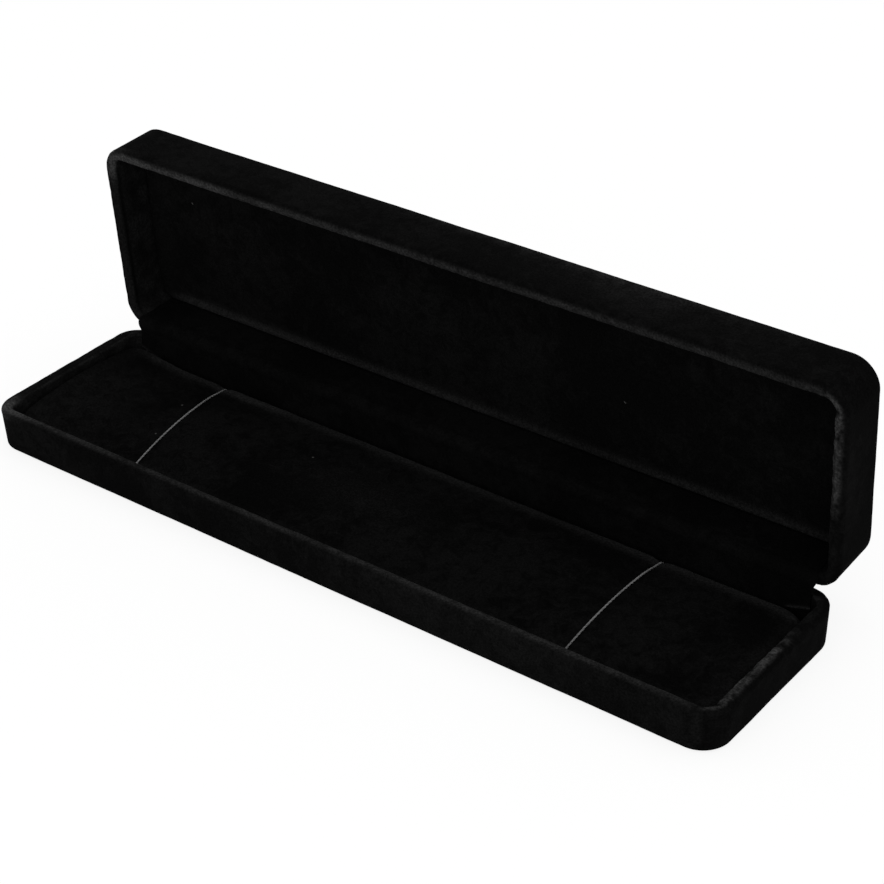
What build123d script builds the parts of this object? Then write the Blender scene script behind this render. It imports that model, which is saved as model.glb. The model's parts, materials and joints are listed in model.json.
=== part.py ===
from build123d import *
from math import atan, cos, degrees, radians, sqrt
import os

# Bracelet box: a long hinged case covered in velvet, standing open on its underside.
# Millimetres and degrees. The origin is the middle of the underside, +X runs along
# the case, the hinge is at the back (+Y) and the base opens upwards.
# The lid's pieces are drawn shut, on planes that are swung open about the hinge pin.

# Case
length = 220.0
width = 54.5
base_height = 11.2
lid_height = 15.6
corner_radius = 7.7
cavity_corner = 2.3
wall = 2.4
floor_thickness = 1.4
base_draft = 2.3
lid_draft = 0.8
base_edge_round = 1.0
lid_edge_round = 1.6
open_angle = 87.0
closing_gap = 0.4

# Velvet wrapping and underside panel
velvet = 0.6
rim_round = 1.1
turned_in = 4.5
inner_edge_share = 0.5
round_limit_share = 0.42
panel_thickness = 0.8
panel_clearance = 0.3

# Pad in the base, its heights measured from the tray's floor
pad_gap = 0.75
pad_crown = 5.6
pad_side = 3.3
pad_corner = 8.0
pad_shoulder = 2.0
pad_card = 1.0
pad_margin = 7.0

# Lining of the lid, its heights measured from the lid's ceiling
lining_gap = 0.35
lining_crown = 3.9
lining_side = 2.9
lining_corner = 2.6
lining_shoulder = 1.2
lining_card = 1.0
lining_margin = 7.0

# Elastic threads across the pad, their middles along it and how far each leans from straight across
left_strap_place = -68.3
left_strap_lean = 9.5
right_strap_place = 66.2
right_strap_lean = 1.6
strap_diameter = 0.55
strap_standoff = 0.25
strap_groove_clearance = 0.04
strap_turn = 0.9

# Hinge
pin_inset = 0.6
pin_rise = 1.5
pin_radius = 0.45
pin_clearance = 0.05
pin_head_radius = 0.85
pin_head = 0.45
leaf_thickness = 0.45
leaf_foot_gap = 1.4
leaf_clearance = 0.05
hinge_end_gap = 4.1
knuckle_count = 11
knuckle_gap = 0.2
slot_clearance = 0.25

# Rivets through the leaves
rivet_radius = 0.6
rivet_head_radius = 1.0
rivet_length = 1.8
rivet_clearance = 0.03

# Snap springs between the base's leaf and wall, and the knuckles left outside their middles
spring_thickness = 0.25
spring_width = 12.0
spring_foot_gap = 0.8
spring_clearance = 0.05
knuckles_outside_springs = 3

# Velvet strip over the hinge
strip_end_clearance = 0.3
strip_parting = 0.3

cut_overrun = 3.0

# Places that follow from the sizes
wall_total = wall + 2 * velvet
cavity_inset = wall + velvet
underside = panel_thickness
floor_top = underside + floor_thickness
lid_rim = base_height + closing_gap
ceiling = lid_rim + lid_height - velvet - floor_thickness
wall_face = width / 2 - cavity_inset
straight_half = length / 2 - wall_total - cavity_corner
rim_fillet = min(rim_round, round_limit_share * wall_total)
shell_rim_fillet = rim_fillet * wall / wall_total

hinge_length = 2 * (straight_half - hinge_end_gap)
pin_y = width / 2 - pin_inset
pin_z = lid_rim + pin_rise
bore_radius = pin_radius + pin_clearance
barrel_radius = bore_radius + leaf_thickness
leaf_back = wall_face + leaf_thickness
knuckle_pitch = hinge_length / knuckle_count
base_leaf_foot = floor_top + leaf_foot_gap
lid_leaf_foot = ceiling - leaf_foot_gap
base_rivets = (base_leaf_foot + base_height) / 2
lid_rivets = (lid_leaf_foot + pin_z + barrel_radius) / 2
spring_place = (knuckle_count - knuckles_outside_springs) / 2 * knuckle_pitch
spring_foot = base_leaf_foot + spring_foot_gap
spring_back = leaf_back + spring_thickness

# Sizes of the two padded forms
pad_sizes = {
    "half_length": length / 2 - wall_total - pad_gap,
    "half_width": width / 2 - wall_total - pad_gap,
    "crown": pad_crown,
    "side": pad_side,
    "corner": pad_corner,
    "shoulder": pad_shoulder,
    "card": pad_card,
    "margin": pad_margin,
}
lining_sizes = {
    "half_length": length / 2 - wall_total - lining_gap,
    "half_width": width / 2 - wall_total - lining_gap,
    "crown": lining_crown,
    "side": lining_side,
    "corner": lining_corner,
    "shoulder": lining_shoulder,
    "card": lining_card,
    "margin": lining_margin,
}

# The lid's swing about the pin, from shut to open
swing = Pos(0, pin_y, pin_z) * Rot(-open_angle, 0, 0) * Pos(0, -pin_y, -pin_z)


def swung(plane):
    """Plane of the shut lid, swung open."""
    return Plane(swing * plane.location)


base_section = Plane.YZ
lid_section = swung(base_section)
base_rim_plane = Plane(origin=(0, 0, base_height), x_dir=(1, 0, 0), z_dir=(0, 0, -1))
lid_rim_plane = swung(Plane.XY.offset(lid_rim))
base_wall_plane = Plane(origin=(0, wall_face, 0), x_dir=(-1, 0, 0), z_dir=(0, 1, 0))
lid_wall_plane = swung(base_wall_plane)
pad_plane = Plane.XY.offset(floor_top)
lining_plane = swung(Plane(origin=(0, 0, ceiling), x_dir=(1, 0, 0), z_dir=(0, 0, -1)))


def case_outline(inset):
    """Plan of the case, drawn in all round by the inset."""
    RectangleRounded(length - 2 * inset, width - 2 * inset, corner_radius - inset)


def cavity_outline(inset):
    """Plan of the hollow, with tighter corners than the case, drawn in by the inset."""
    RectangleRounded(length - 2 * inset, width - 2 * inset, cavity_corner + wall_total - inset)


def tray(rim, inset, thickness, height, bottom, draft, rim_radius, edge_radius):
    """Open tray, measured from its rim plane, with leaning walls and rounded edges."""
    depth_axis = Axis(rim.origin, rim.z_dir)
    with BuildPart() as form:
        with BuildSketch(rim):
            case_outline(inset)
        extrude(amount=height, taper=draft)
        fillet(form.faces().sort_by(depth_axis)[-1].edges(), edge_radius)
        with BuildSketch(rim):
            cavity_outline(inset + thickness)
        extrude(amount=height - bottom, mode=Mode.SUBTRACT)
        fillet(form.faces().sort_by(depth_axis)[0].edges(), rim_radius)
    return form.part


def moulded_tray(rim, height, draft, edge_round):
    """Tray under the velvet, before its hinge seats are cut."""
    edge = edge_round * inner_edge_share
    return tray(rim.offset(velvet), velvet, wall, height, floor_thickness, draft, shell_rim_fillet, edge)


def wrapped_tray(rim, height, draft, edge_round):
    """The same tray with its velvet, down to the inner floor."""
    bottom = floor_thickness + velvet
    return tray(rim, 0, wall_total, height, bottom, draft, rim_fillet, edge_round)


def bar(section, half_length, near, far, low, high):
    """Bar along the case, centred, between two places across it and two heights."""
    with BuildPart() as form:
        with BuildSketch(section.offset(-half_length)):
            with Locations(((near + far) / 2, (low + high) / 2)):
                Rectangle(far - near, high - low)
        extrude(amount=2 * half_length)
    return form.part


def rivet_row(wall_plane, height, clearance=0):
    """Countersunk rivets, their heads flush with the leaf's inner face."""
    shank = rivet_radius + clearance
    head = rivet_head_radius + clearance
    head_angle = degrees(atan((rivet_head_radius - rivet_radius) / leaf_thickness))
    count = (knuckle_count + 1) // 2
    with BuildPart() as row:
        with BuildSketch(wall_plane):
            with Locations((0, height)):
                with GridLocations(2 * knuckle_pitch, 0, count, 1):
                    Circle(head)
        extrude(amount=leaf_thickness, taper=head_angle)
        with BuildSketch(wall_plane):
            with Locations((0, height)):
                with GridLocations(2 * knuckle_pitch, 0, count, 1):
                    Circle(shank)
        extrude(amount=rivet_length + clearance)
    return row.part


def spring_row():
    """Flat springs behind the base's leaf, bent back to a tongue that meets a knuckle of the lid."""
    tongue_end = pin_y - barrel_radius - spring_clearance
    tongue_low = pin_z - spring_thickness
    with BuildPart() as row:
        for middle in (-spring_place, spring_place):
            with BuildSketch(base_section.offset(middle - spring_width / 2)):
                with BuildLine():
                    Polyline(
                        (leaf_back, spring_foot),
                        (leaf_back, pin_z),
                        (tongue_end, pin_z),
                        (tongue_end, tongue_low),
                        (spring_back, tongue_low),
                        (spring_back, spring_foot),
                        close=True,
                    )
                make_face()
            extrude(amount=spring_width)
    return row.part


def leaf_seat():
    """Recess for the base's leaf and springs in the rear wall, open at the rim."""
    foot = spring_foot - spring_clearance
    back = spring_back + spring_clearance
    top = base_height + cut_overrun
    recess = bar(base_section, hinge_length / 2 + leaf_clearance, wall_face, leaf_back + leaf_clearance,
                 base_leaf_foot - leaf_clearance, top)
    with BuildPart() as seat:
        add(recess)
        for middle in (-spring_place, spring_place):
            with BuildSketch(base_section.offset(middle - spring_width / 2 - spring_clearance)):
                with Locations(((wall_face + back) / 2, (foot + top) / 2)):
                    Rectangle(back - wall_face, top - foot)
            extrude(amount=spring_width + 2 * spring_clearance)
    return seat.part


def lid_slot():
    """Slot in the lid's rear wall that leaves the knuckles room."""
    top = pin_z + barrel_radius + slot_clearance
    return bar(lid_section, straight_half, wall_face - cut_overrun, width / 2 + cut_overrun,
               lid_rim - cut_overrun, top)


def crown_radius(half_width, rise):
    """Radius of a crown that rises by that much over the half width."""
    return (half_width**2 + rise**2) / (2 * rise)


def pad_form(plane, sizes, inset):
    """Crowned pad on its plane, rounded all along its upper edge and shrunk by the inset."""
    half_length = sizes["half_length"] - inset
    half_width = sizes["half_width"] - inset
    crown = sizes["crown"] - inset
    radius = crown_radius(half_width, sizes["crown"] - sizes["side"])
    across = Plane(plane.origin, x_dir=plane.y_dir, z_dir=plane.x_dir)
    with BuildPart() as form:
        with BuildSketch(plane.offset(inset)):
            RectangleRounded(2 * half_length, 2 * half_width, sizes["corner"] - inset)
        extrude(amount=crown + cut_overrun)
        with BuildSketch(across.offset(-half_length - cut_overrun)):
            with Locations((0, crown - radius)):
                Circle(radius)
        extrude(amount=2 * (half_length + cut_overrun), mode=Mode.INTERSECT)
        top = form.faces().sort_by(Axis(plane.origin, plane.z_dir))[-1]
        fillet(top.edges(), sizes["shoulder"] - inset)
    return form.part


def pad_card_part(plane, sizes):
    """Stiff card inside the pad's velvet."""
    with BuildPart() as card:
        with BuildSketch(plane.offset(velvet)):
            RectangleRounded(2 * (sizes["half_length"] - velvet), 2 * (sizes["half_width"] - velvet),
                             sizes["corner"] - velvet)
        extrude(amount=sizes["card"])
    return card.part


def pad_filling(plane, sizes):
    """Foam or wadding between the card and the velvet."""
    inside = pad_form(plane, sizes, velvet)
    with BuildPart() as filling:
        add(inside)
        with BuildSketch(plane):
            Rectangle(2 * sizes["half_length"], 2 * sizes["half_width"])
        extrude(amount=velvet + sizes["card"], mode=Mode.SUBTRACT)
    return filling.part


def pad_velvet(plane, sizes):
    """Velvet drawn over the pad and turned in under its card."""
    outside = pad_form(plane, sizes, 0)
    inside = pad_form(plane, sizes, velvet)
    with BuildPart() as skin:
        add(outside)
        add(inside, mode=Mode.SUBTRACT)
        with BuildSketch(plane):
            RectangleRounded(2 * (sizes["half_length"] - sizes["margin"]),
                             2 * (sizes["half_width"] - sizes["margin"]), sizes["corner"])
        extrude(amount=velvet, mode=Mode.SUBTRACT)
    return skin.part


def strap_thread(place, lean, radius):
    """Elastic thread round the pad: over its crown, down its sides and below its card."""
    stretch = 1 / cos(radians(lean))
    half_width = pad_sizes["half_width"] * stretch
    radius_below = crown_radius(half_width, pad_crown - pad_side)
    reach = half_width + strap_standoff * stretch
    drop = radius_below - sqrt((radius_below + strap_standoff) ** 2 - reach**2)
    shoulder_height = pad_crown - drop
    top = pad_crown + strap_standoff
    low = velvet / 2
    straight = Plane(pad_plane.origin, x_dir=(0, 1, 0), z_dir=(1, 0, 0))
    across = Plane(Pos(place, 0, 0) * Rot(0, 0, lean) * straight.location)
    with BuildSketch(across) as loop:
        with BuildLine():
            Polyline((-reach, shoulder_height), (-reach, low), (reach, low), (reach, shoulder_height))
            ThreePointArc((reach, shoulder_height), (0, top), (-reach, shoulder_height))
        make_face()
        fillet(loop.vertices().group_by(Axis.Y)[-1], pad_shoulder + strap_standoff)
        fillet(loop.vertices().group_by(Axis.Y)[0], strap_turn)
    route = loop.sketch.faces()[0].outer_wire()
    with BuildPart() as thread:
        with BuildSketch(Plane(route @ 0, z_dir=route % 0)):
            Circle(radius)
        sweep(path=route)
    return thread.part


def hinge_leaf(section, wall_plane, first, side, foot, rivets):
    """Leaf of the hinge, below the pin for the base (side -1) and above it for the lid (side 1)."""
    inner = pin_z + side * bore_radius
    outer = pin_z + side * barrel_radius
    plate = bar(section, hinge_length / 2, wall_face, leaf_back, min(foot, outer), max(foot, outer))
    holes = rivet_row(wall_plane, rivets, rivet_clearance)
    with BuildPart() as leaf:
        add(plate)
        for i in range(first, knuckle_count, 2):
            start = (i - knuckle_count / 2) * knuckle_pitch + knuckle_gap / 2
            with BuildSketch(section.offset(start)):
                with Locations(((wall_face + pin_y) / 2, (inner + outer) / 2)):
                    Rectangle(pin_y - wall_face, leaf_thickness)
                with Locations((pin_y, pin_z)):
                    Circle(barrel_radius)
                    Circle(bore_radius, mode=Mode.SUBTRACT)
            extrude(amount=knuckle_pitch - knuckle_gap)
        add(holes, mode=Mode.SUBTRACT)
    return leaf.part


base_form = moulded_tray(base_rim_plane, base_height - underside - velvet, base_draft, base_edge_round)
base_wrapped = wrapped_tray(base_rim_plane, base_height - underside + velvet, base_draft, base_edge_round)
base_leaf_seat = leaf_seat()
base_rivet_holes = rivet_row(base_wall_plane, base_rivets, rivet_clearance)
base_strip_room = bar(base_section, straight_half, wall_face - cut_overrun, wall_face,
                      floor_top, base_height + cut_overrun)

with BuildPart() as base_shell:
    add(base_form)
    add(base_leaf_seat, mode=Mode.SUBTRACT)
    add(base_rivet_holes, mode=Mode.SUBTRACT)

with BuildPart() as base_velvet_cover:
    add(base_wrapped)
    add(base_form, mode=Mode.SUBTRACT)
    add(base_leaf_seat, mode=Mode.SUBTRACT)
    add(base_strip_room, mode=Mode.SUBTRACT)
    with BuildSketch(Plane.XY):
        case_outline(turned_in)
    extrude(amount=underside, mode=Mode.SUBTRACT)

with BuildPart() as underside_panel:
    with BuildSketch(Plane.XY):
        case_outline(turned_in + panel_clearance)
    extrude(amount=panel_thickness)

pad_board = pad_card_part(pad_plane, pad_sizes)
pad_foam = pad_filling(pad_plane, pad_sizes)
pad_skin = pad_velvet(pad_plane, pad_sizes)
strap_left = strap_thread(left_strap_place, left_strap_lean, strap_diameter / 2)
strap_right = strap_thread(right_strap_place, right_strap_lean, strap_diameter / 2)
groove_radius = strap_diameter / 2 + strap_groove_clearance
groove_left = strap_thread(left_strap_place, left_strap_lean, groove_radius)
groove_right = strap_thread(right_strap_place, right_strap_lean, groove_radius)

with BuildPart() as pad_velvet_cover:
    add(pad_skin)
    add(groove_left, mode=Mode.SUBTRACT)
    add(groove_right, mode=Mode.SUBTRACT)

hinge_leaf_base = hinge_leaf(base_section, base_wall_plane, 0, -1, base_leaf_foot, base_rivets)
base_hinge_rivets = rivet_row(base_wall_plane, base_rivets)
snap_springs = spring_row()
hinge_strip_lower = bar(base_section, straight_half - strip_end_clearance, wall_face - velvet, wall_face,
                        floor_top, pin_z - strip_parting / 2)

with BuildPart() as hinge_pin:
    pin_half = hinge_length / 2 + pin_clearance
    with BuildSketch(base_section.offset(-pin_half)):
        with Locations((pin_y, pin_z)):
            Circle(pin_radius)
    extrude(amount=2 * pin_half)
    for end in (-pin_half - pin_head, pin_half):
        with BuildSketch(base_section.offset(end)):
            with Locations((pin_y, pin_z)):
                Circle(pin_head_radius)
        extrude(amount=pin_head)
    ends = hinge_pin.edges().group_by(Axis.X)
    fillet(ends[0] + ends[-1], pin_head * inner_edge_share)

lid_form = moulded_tray(lid_rim_plane, lid_height - 2 * velvet, lid_draft, lid_edge_round)
lid_wrapped = wrapped_tray(lid_rim_plane, lid_height, lid_draft, lid_edge_round)
knuckle_slot = lid_slot()
lid_leaf_seat = bar(lid_section, hinge_length / 2 + leaf_clearance, wall_face, leaf_back + leaf_clearance,
                    lid_rim, lid_leaf_foot + leaf_clearance)
lid_rivet_holes = rivet_row(lid_wall_plane, lid_rivets, rivet_clearance)
lid_strip_room = bar(lid_section, straight_half, wall_face - cut_overrun, wall_face,
                     lid_rim - cut_overrun, ceiling)

with BuildPart() as lid_shell:
    add(lid_form)
    add(knuckle_slot, mode=Mode.SUBTRACT)
    add(lid_leaf_seat, mode=Mode.SUBTRACT)
    add(lid_rivet_holes, mode=Mode.SUBTRACT)

with BuildPart() as lid_velvet_cover:
    add(lid_wrapped)
    add(lid_form, mode=Mode.SUBTRACT)
    add(knuckle_slot, mode=Mode.SUBTRACT)
    add(lid_strip_room, mode=Mode.SUBTRACT)

lid_pad_board = pad_card_part(lining_plane, lining_sizes)
lid_pad_wadding = pad_filling(lining_plane, lining_sizes)
lid_pad_velvet = pad_velvet(lining_plane, lining_sizes)
hinge_leaf_lid = hinge_leaf(lid_section, lid_wall_plane, 1, 1, lid_leaf_foot, lid_rivets)
lid_hinge_rivets = rivet_row(lid_wall_plane, lid_rivets)
hinge_strip_upper = bar(lid_section, straight_half - strip_end_clearance, wall_face - velvet, wall_face,
                        pin_z + strip_parting / 2, ceiling)

pieces = {
    "base_shell": base_shell.part,
    "base_velvet_cover": base_velvet_cover.part,
    "underside_panel": underside_panel.part,
    "pad_board": pad_board,
    "pad_foam": pad_foam,
    "pad_velvet_cover": pad_velvet_cover.part,
    "strap_left": strap_left,
    "strap_right": strap_right,
    "hinge_leaf_base": hinge_leaf_base,
    "base_hinge_rivets": base_hinge_rivets,
    "hinge_pin": hinge_pin.part,
    "snap_springs": snap_springs,
    "hinge_strip_lower": hinge_strip_lower,
    "lid_shell": lid_shell.part,
    "lid_velvet_cover": lid_velvet_cover.part,
    "lid_pad_board": lid_pad_board,
    "lid_pad_wadding": lid_pad_wadding,
    "lid_pad_velvet": lid_pad_velvet,
    "hinge_leaf_lid": hinge_leaf_lid,
    "lid_hinge_rivets": lid_hinge_rivets,
    "hinge_strip_upper": hinge_strip_upper,
}

os.makedirs("parts", exist_ok=True)
for name, piece in pieces.items():
    piece.label = name
    export_step(piece, f"parts/{name}.step")
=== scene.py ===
import json
from math import atan2, cos, hypot, pi, radians, sin, sqrt, tan

import bmesh
import bpy
import numpy as np
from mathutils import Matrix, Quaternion, Vector, noise


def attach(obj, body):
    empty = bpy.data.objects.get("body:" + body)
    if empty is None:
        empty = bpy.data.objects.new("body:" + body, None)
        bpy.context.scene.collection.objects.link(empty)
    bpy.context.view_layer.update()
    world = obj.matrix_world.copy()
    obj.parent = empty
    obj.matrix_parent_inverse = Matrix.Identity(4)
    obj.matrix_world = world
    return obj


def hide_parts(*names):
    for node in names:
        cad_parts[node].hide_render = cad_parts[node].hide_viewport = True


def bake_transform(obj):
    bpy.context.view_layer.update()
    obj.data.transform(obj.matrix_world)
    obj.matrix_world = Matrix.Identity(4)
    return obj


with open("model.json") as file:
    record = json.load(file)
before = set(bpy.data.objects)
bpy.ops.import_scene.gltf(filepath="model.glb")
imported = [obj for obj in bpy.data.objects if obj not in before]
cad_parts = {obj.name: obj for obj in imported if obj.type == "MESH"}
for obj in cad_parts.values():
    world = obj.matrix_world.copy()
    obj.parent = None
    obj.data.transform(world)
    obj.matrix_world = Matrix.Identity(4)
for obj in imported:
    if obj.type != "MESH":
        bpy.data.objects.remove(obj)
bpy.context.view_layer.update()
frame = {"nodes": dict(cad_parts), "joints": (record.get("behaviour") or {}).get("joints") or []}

# Bracelet box in black velvet, open as in the photograph.
# Shapes are worked out in millimetres and turned to metres as they become meshes.
# The lid's pieces are drawn shut and then swung open about the hinge pin.

mm = 0.001
hinge = frame["joints"][0]
pinY = hinge["pos_m"][1] / mm
pinZ = hinge["pos_m"][2] / mm
openAngle = radians(hinge["range_deg"][1])

case = {
    "length": 220.0,
    "width": 54.5,
    "cornerRadius": 7.7,
    "cavityCorner": 2.3,  # of the hollow, at the velvet's face
    "wall": 3.6,          # moulding with velvet on both faces
    "velvet": 0.6,        # cloth with its pile
    "turnedIn": 4.5,      # cloth folded under the base
    "rimDepth": 1.3,      # from the top of a rolled rim to where it meets the walls
    "bareHalf": 104.1,    # half the stretch of rear wall that the strip covers, bare of wrapping
    "stationStep": 0.8,   # between the mesh's points round the box
    "fineStep": 0.3,      # and beside the threads
    "sectionStep": 0.8,   # and across the cloth
    "cornerStations": 16,
    "sharpAngle": 50,     # degrees, edges that turn further are drawn sharp
}
caseHalfLength = case["length"] / 2
caseHalfWidth = case["width"] / 2
rearInner = caseHalfWidth - case["wall"]  # the hollow's long walls


def placeOpen(points):  # from the shut lid's place to the open one
    turned = points.copy()
    y = points[:, 1] - pinY
    z = points[:, 2] - pinZ
    turned[:, 1] = pinY + y * cos(openAngle) + z * sin(openAngle)
    turned[:, 2] = pinZ - y * sin(openAngle) + z * cos(openAngle)
    return turned


def ease(value, low, high):  # 0 below low, 1 above high, smooth between
    t = np.clip((value - low) / (high - low), 0, 1)
    return t * t * (3 - 2 * t)


def around(value, middle, reach):  # 1 in the middle, fading to both sides over the reach
    return np.exp(-((value - middle) / reach) ** 2)


def between(value, low, high):
    return (value > low) * (value < high)


noiseShift = (17.3, 5.1, 9.7)  # each seed takes the noise that much further on


def unevenness(points, size, seed):
    # smooth noise, features of about that size in mm, longer along an axis that the points are squeezed on
    shift = Vector([seed * step for step in noiseShift])
    return np.array([noise.noise(Vector(p) / size + shift) for p in points])


def ringStations(halfLength, denser):  # along the long side, closer together within reach of some places
    count = round(2 * halfLength / case["stationStep"])
    places = set(np.round(np.linspace(-halfLength, halfLength, count + 1), 4))
    for middle, reach in denser:
        places = {p for p in places if abs(p - middle) > reach}
        places |= set(np.round(np.arange(middle - reach, middle + reach, case["fineStep"]), 4))
    return np.array(sorted(places)) / halfLength


def ring(halfLength, halfWidth, radius, shares):  # rounded rectangle, always with the same stations
    radius = min(radius, halfWidth)
    alongX = halfLength - radius
    alongY = halfWidth - radius
    sideCount = max(4, round(case["width"] / case["stationStep"]))
    sides = np.linspace(-1, 1, sideCount + 1)
    turns = np.linspace(0, pi / 2, case["cornerStations"] + 1)[1:-1]
    half = [(alongX * s, -halfWidth) for s in shares]
    half += [(alongX + radius * sin(t), -alongY - radius * cos(t)) for t in turns]
    half += [(halfLength, alongY * s) for s in sides]
    half += [(alongX + radius * cos(t), alongY + radius * sin(t)) for t in turns]
    return np.vstack([half, -np.array(half)])  # the other half is the first one turned round


def ringAt(plan, inset, height, hollow=0.0):
    # the plan drawn in by the inset; where hollow is 1 it has the cavity's corners
    corner = plan["corner"] + (plan["hollowCorner"] - plan["corner"]) * hollow
    outline = ring(
        plan["halfLength"] - inset,
        max(plan["halfWidth"] - inset, 0.0),
        max(corner - inset, plan["leastRadius"]),
        plan["shares"],
    )
    return np.column_stack([outline, np.full(len(outline), height)])


def arc(centre, radius, start, end, count):  # insets and heights along an arc, its angles in degrees
    turns = np.radians(np.linspace(start, end, count))
    return [(centre[0] + radius * cos(t), centre[1] + radius * sin(t)) for t in turns]


def run(start, end, step):  # straight stretch, its last point left out
    count = max(1, round(hypot(end[0] - start[0], end[1] - start[1]) / step))
    return [(start[0] + (end[0] - start[0]) * i / count, start[1] + (end[1] - start[1]) * i / count)
            for i in range(count)]


def addObject(name, data):
    made = bpy.data.objects.new(name, data)
    bpy.context.scene.collection.objects.link(made)
    return made


weldReach = 0.0005  # mm, points closer together than this become one


def meshFromRings(name, rings, closedSection, faceRings=0):  # the first rings are the cloth's face
    size = len(rings[0])
    vertices = np.vstack(rings)
    faces = []
    last = len(rings) if closedSection else len(rings) - 1
    for k in range(last):
        here = k * size
        there = (k + 1) % len(rings) * size
        for i in range(size):
            j = (i + 1) % size
            faces.append((here + i, here + j, there + j, there + i))
    mesh = bpy.data.meshes.new(name)
    mesh.from_pydata(vertices.tolist(), [], faces)
    piece = addObject(name, mesh)
    setMark(piece, "face", np.arange(len(vertices)) < faceRings * size)
    body = bmesh.new()
    body.from_mesh(mesh)
    bmesh.ops.remove_doubles(body, verts=body.verts, dist=weldReach)
    bmesh.ops.dissolve_degenerate(body, edges=body.edges, dist=weldReach)
    bmesh.ops.recalc_face_normals(body, faces=body.faces)
    body.to_mesh(mesh)
    body.free()
    return piece


def readVertices(piece, what):  # the place of each point, "co", or its normal, "normal"
    values = np.zeros(len(piece.data.vertices) * 3)
    piece.data.vertices.foreach_get(what, values)
    return values.reshape(-1, 3)


def setPoints(piece, points):
    piece.data.vertices.foreach_set("co", np.ascontiguousarray(points).ravel())
    piece.data.update()


def setMark(piece, name, values):  # one number for each point, which a material can read
    attribute = piece.data.attributes.new(name, "FLOAT", "POINT")
    attribute.data.foreach_set("value", np.asarray(values, dtype=np.float32))


def readMark(piece, name):
    values = np.zeros(len(piece.data.vertices))
    piece.data.attributes[name].data.foreach_get("value", values)
    return values


def cutBoxes(piece, boxes):
    for low, high in boxes:
        middle = [(a + b) / 2 for a, b in zip(low, high)]
        body = bmesh.new()
        bmesh.ops.create_cube(body, size=1.0)
        bmesh.ops.scale(body, vec=[b - a for a, b in zip(low, high)], verts=body.verts)
        bmesh.ops.translate(body, vec=middle, verts=body.verts)
        cutterMesh = bpy.data.meshes.new("cutter")
        body.to_mesh(cutterMesh)
        body.free()
        cutter = addObject("cutter", cutterMesh)
        cut = piece.modifiers.new("cut", "BOOLEAN")
        cut.operation = "DIFFERENCE"
        cut.solver = "EXACT"
        cut.object = cutter
        shown = piece.evaluated_get(bpy.context.evaluated_depsgraph_get())
        result = bpy.data.meshes.new_from_object(shown)
        if not result.polygons:
            raise RuntimeError("a cut left nothing of " + piece.name)
        piece.modifiers.clear()
        piece.data = result
        bpy.data.objects.remove(cutter)


def finishPiece(piece, material, body, swungOpen=False):
    if swungOpen:
        setPoints(piece, placeOpen(readVertices(piece, "co")))
    setPoints(piece, readVertices(piece, "co") * mm)
    piece.data.materials.clear()
    piece.data.materials.append(material)
    piece.data.polygons.foreach_set("use_smooth", [True] * len(piece.data.polygons))
    piece.data.set_sharp_from_angle(angle=radians(case["sharpAngle"]))
    if body:
        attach(piece, body)


# Materials

def toLinear(hexColour):
    parts = [int(hexColour[i:i + 2], 16) / 255 for i in (1, 3, 5)]
    return [p / 12.92 if p <= 0.04045 else ((p + 0.055) / 1.055) ** 2.4 for p in parts] + [1.0]


def addNode(tree, kind, inputs, **settings):  # a node with its settings, and its inputs linked or set
    node = tree.nodes.new("ShaderNode" + kind)
    for name, value in settings.items():
        setattr(node, name, value)
    for name, value in inputs.items():
        if isinstance(value, bpy.types.NodeSocket):
            tree.links.new(value, node.inputs[name])
        else:
            node.inputs[name].default_value = value
    return node


def newMaterial(name):
    material = bpy.data.materials.new(name)
    material.use_nodes = True
    material.node_tree.nodes.clear()
    return material, material.node_tree


velvetLook = {
    "tuft": 0.55,        # mm, clumps of pile; the real tufts of 0.2 mm are too fine to show
    "crush": 3.2,        # mm, where fingers have pressed the pile
    "drift": 24.0,       # mm, broad lighter and darker stretches
    "lint": 14.0,        # mm between places that may hold a speck of lint
    "lintShare": 0.13,   # share of those places that do
    "lintSize": 0.26,    # mm
    "lintColour": "#3C3C3B",
    "relief": 0.09,      # mm, how far the tufts stand out
}


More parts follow.
